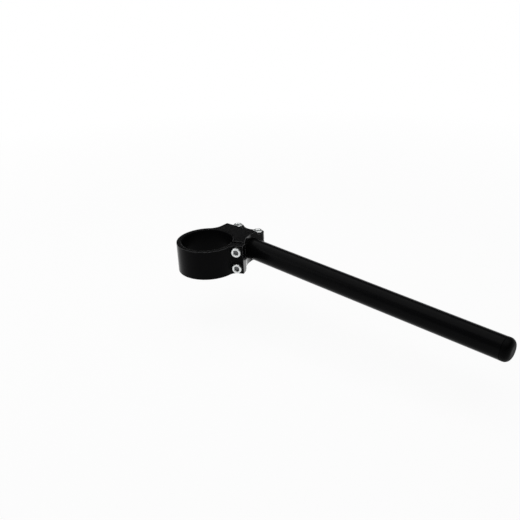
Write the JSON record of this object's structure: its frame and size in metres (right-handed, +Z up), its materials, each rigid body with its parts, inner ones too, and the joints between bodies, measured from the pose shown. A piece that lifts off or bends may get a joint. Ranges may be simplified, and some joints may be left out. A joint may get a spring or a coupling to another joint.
{
  "type": "clip-on handlebar",
  "caption": "Black clip-on motorbike handlebar: one machined body clamps the fork leg and a straight tube, which ends in a rounded plug.",
  "frame": {"origin": "on the fork leg's axis, at half the height of the fork ring", "axes": "+Z up the fork leg, +X from the fork towards the free end of the bar, +Y towards the bar clamp's pinch flange"},
  "size_m": [0.3483, 0.0951, 0.0494],
  "materials": {
    "body": "satin black anodised, machined",
    "tube": "semi-gloss black anodised",
    "plug": "moulded black plastic",
    "bolts": "bright zinc plated"
  },
  "bodies": {
    "root": {"clamp_body": "body", "handlebar_tube": "tube", "bar_end_plug": "plug", "bar_bolt_inner": "bolts", "bar_bolt_outer": "bolts", "fork_bolt_upper": "bolts", "fork_bolt_lower": "bolts"}
  },
  "joints": []
}
